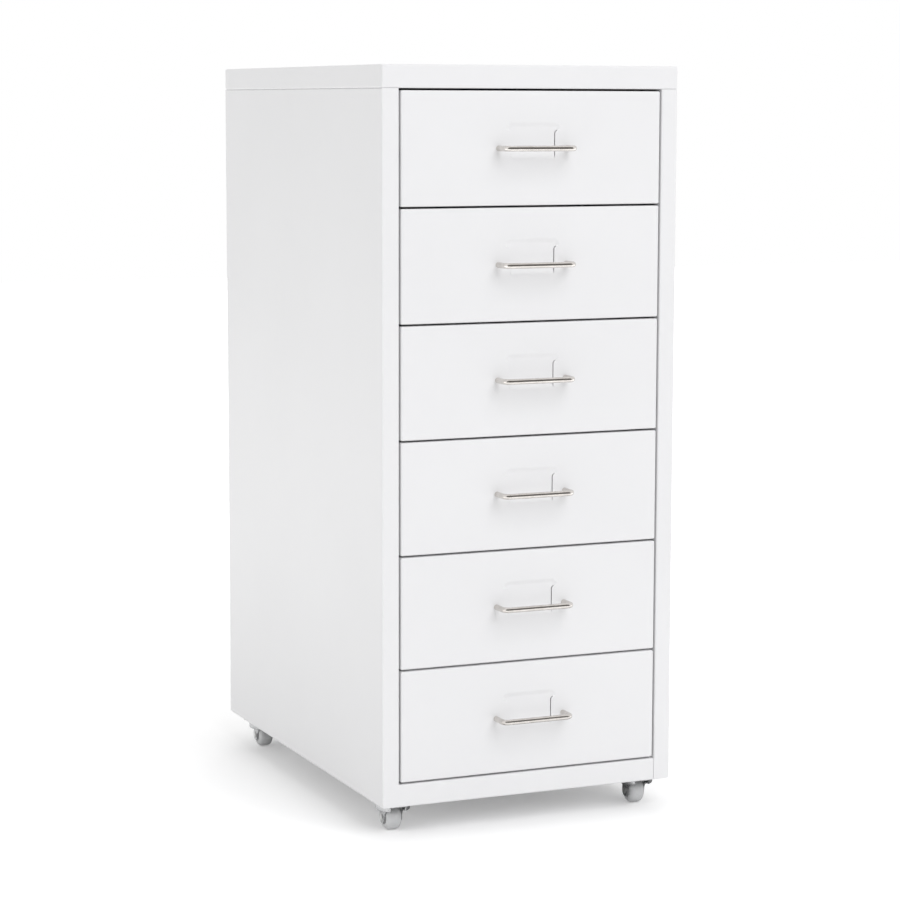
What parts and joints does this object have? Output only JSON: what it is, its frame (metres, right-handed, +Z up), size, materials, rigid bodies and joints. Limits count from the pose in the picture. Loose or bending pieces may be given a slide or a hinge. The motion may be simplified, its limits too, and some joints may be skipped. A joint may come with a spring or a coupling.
{
  "type": "mobile drawer cabinet",
  "caption": "Narrow white steel drawer cabinet on swivel castors: folded sheet body, shallow sliding drawers with wire handles and recessed label pockets.",
  "frame": {"origin": "on the floor, under the middle of the whole cabinet's box, handles included", "axes": "+X to the right seen from the front, +Y to the back, +Z up; the drawers face -Y"},
  "size_m": [0.28, 0.4316, 0.6671],
  "materials": {
    "powder_coat": "white powder coat, satin, fine orange peel",
    "handle_plating": "bright nickel plated wire",
    "wheel_plastic": "light grey moulded plastic",
    "castor_steel": "zinc plated pressed steel",
    "screw_zinc": "bright zinc plated"
  },
  "bodies": {
    "cabinet": {"top_panel": "powder_coat", "left_side_panel": "powder_coat", "right_side_panel": "powder_coat", "back_panel": "powder_coat", "bottom_panel": "powder_coat", "runner_left_1": "powder_coat", "runner_right_1": "powder_coat", "runner_left_2": "powder_coat", "runner_right_2": "powder_coat", "runner_left_3": "powder_coat", "runner_right_3": "powder_coat", "runner_left_4": "powder_coat", "runner_right_4": "powder_coat", "runner_left_5": "powder_coat", "runner_right_5": "powder_coat", "runner_left_6": "powder_coat", "runner_right_6": "powder_coat", "castor_front_left_plate": "castor_steel", "castor_front_right_plate": "castor_steel", "castor_rear_left_plate": "castor_steel", "castor_rear_right_plate": "castor_steel", "castor_kingpins": "castor_steel", "castor_screws": "screw_zinc", "panel_screws": "screw_zinc"},
    "drawer_1": {"drawer_1_front": "powder_coat", "drawer_1_box": "powder_coat", "drawer_1_handle": "handle_plating", "drawer_1_handle_screws": "screw_zinc"},
    "drawer_2": {"drawer_2_front": "powder_coat", "drawer_2_box": "powder_coat", "drawer_2_handle": "handle_plating", "drawer_2_handle_screws": "screw_zinc"},
    "drawer_3": {"drawer_3_front": "powder_coat", "drawer_3_box": "powder_coat", "drawer_3_handle": "handle_plating", "drawer_3_handle_screws": "screw_zinc"},
    "drawer_4": {"drawer_4_front": "powder_coat", "drawer_4_box": "powder_coat", "drawer_4_handle": "handle_plating", "drawer_4_handle_screws": "screw_zinc"},
    "drawer_5": {"drawer_5_front": "powder_coat", "drawer_5_box": "powder_coat", "drawer_5_handle": "handle_plating", "drawer_5_handle_screws": "screw_zinc"},
    "drawer_6": {"drawer_6_front": "powder_coat", "drawer_6_box": "powder_coat", "drawer_6_handle": "handle_plating", "drawer_6_handle_screws": "screw_zinc"},
    "fork_front_left": {"castor_front_left_fork": "castor_steel", "castor_front_left_axle": "screw_zinc"},
    "wheel_front_left": {"castor_front_left_wheel": "wheel_plastic"},
    "fork_front_right": {"castor_front_right_fork": "castor_steel", "castor_front_right_axle": "screw_zinc"},
    "wheel_front_right": {"castor_front_right_wheel": "wheel_plastic"},
    "fork_rear_left": {"castor_rear_left_fork": "castor_steel", "castor_rear_left_axle": "screw_zinc"},
    "wheel_rear_left": {"castor_rear_left_wheel": "wheel_plastic"},
    "fork_rear_right": {"castor_rear_right_fork": "castor_steel", "castor_rear_right_axle": "screw_zinc"},
    "wheel_rear_right": {"castor_rear_right_wheel": "wheel_plastic"}
  },
  "joints": [
    {"name": "drawer_1_slide", "type": "slide", "parent": "cabinet", "child": "drawer_1", "axis": [0, -1, 0], "range_m": [0, 0.3]},
    {"name": "drawer_2_slide", "type": "slide", "parent": "cabinet", "child": "drawer_2", "axis": [0, -1, 0], "range_m": [0, 0.3]},
    {"name": "drawer_3_slide", "type": "slide", "parent": "cabinet", "child": "drawer_3", "axis": [0, -1, 0], "range_m": [0, 0.3]},
    {"name": "drawer_4_slide", "type": "slide", "parent": "cabinet", "child": "drawer_4", "axis": [0, -1, 0], "range_m": [0, 0.3]},
    {"name": "drawer_5_slide", "type": "slide", "parent": "cabinet", "child": "drawer_5", "axis": [0, -1, 0], "range_m": [0, 0.3]},
    {"name": "drawer_6_slide", "type": "slide", "parent": "cabinet", "child": "drawer_6", "axis": [0, -1, 0], "range_m": [0, 0.3]},
    {"name": "castor_front_left_swivel", "type": "hinge", "parent": "cabinet", "child": "fork_front_left", "pos_m": [-0.11985, -0.1688, 0.0245], "axis": [0, 0, 1], "continuous": true},
    {"name": "castor_front_left_roll", "type": "hinge", "parent": "fork_front_left", "child": "wheel_front_left", "pos_m": [-0.11985, -0.1648, 0.01125], "axis": [1, 0, 0], "continuous": true},
    {"name": "castor_front_right_swivel", "type": "hinge", "parent": "cabinet", "child": "fork_front_right", "pos_m": [0.11985, -0.1688, 0.0245], "axis": [0, 0, 1], "continuous": true},
    {"name": "castor_front_right_roll", "type": "hinge", "parent": "fork_front_right", "child": "wheel_front_right", "pos_m": [0.11985, -0.1648, 0.01125], "axis": [1, 0, 0], "continuous": true},
    {"name": "castor_rear_left_swivel", "type": "hinge", "parent": "cabinet", "child": "fork_rear_left", "pos_m": [-0.11985, 0.1677, 0.0245], "axis": [0, 0, 1], "continuous": true},
    {"name": "castor_rear_left_roll", "type": "hinge", "parent": "fork_rear_left", "child": "wheel_rear_left", "pos_m": [-0.11985, 0.1717, 0.01125], "axis": [1, 0, 0], "continuous": true},
    {"name": "castor_rear_right_swivel", "type": "hinge", "parent": "cabinet", "child": "fork_rear_right", "pos_m": [0.11985, 0.1677, 0.0245], "axis": [0, 0, 1], "continuous": true},
    {"name": "castor_rear_right_roll", "type": "hinge", "parent": "fork_rear_right", "child": "wheel_rear_right", "pos_m": [0.11985, 0.1717, 0.01125], "axis": [1, 0, 0], "continuous": true}
  ]
}
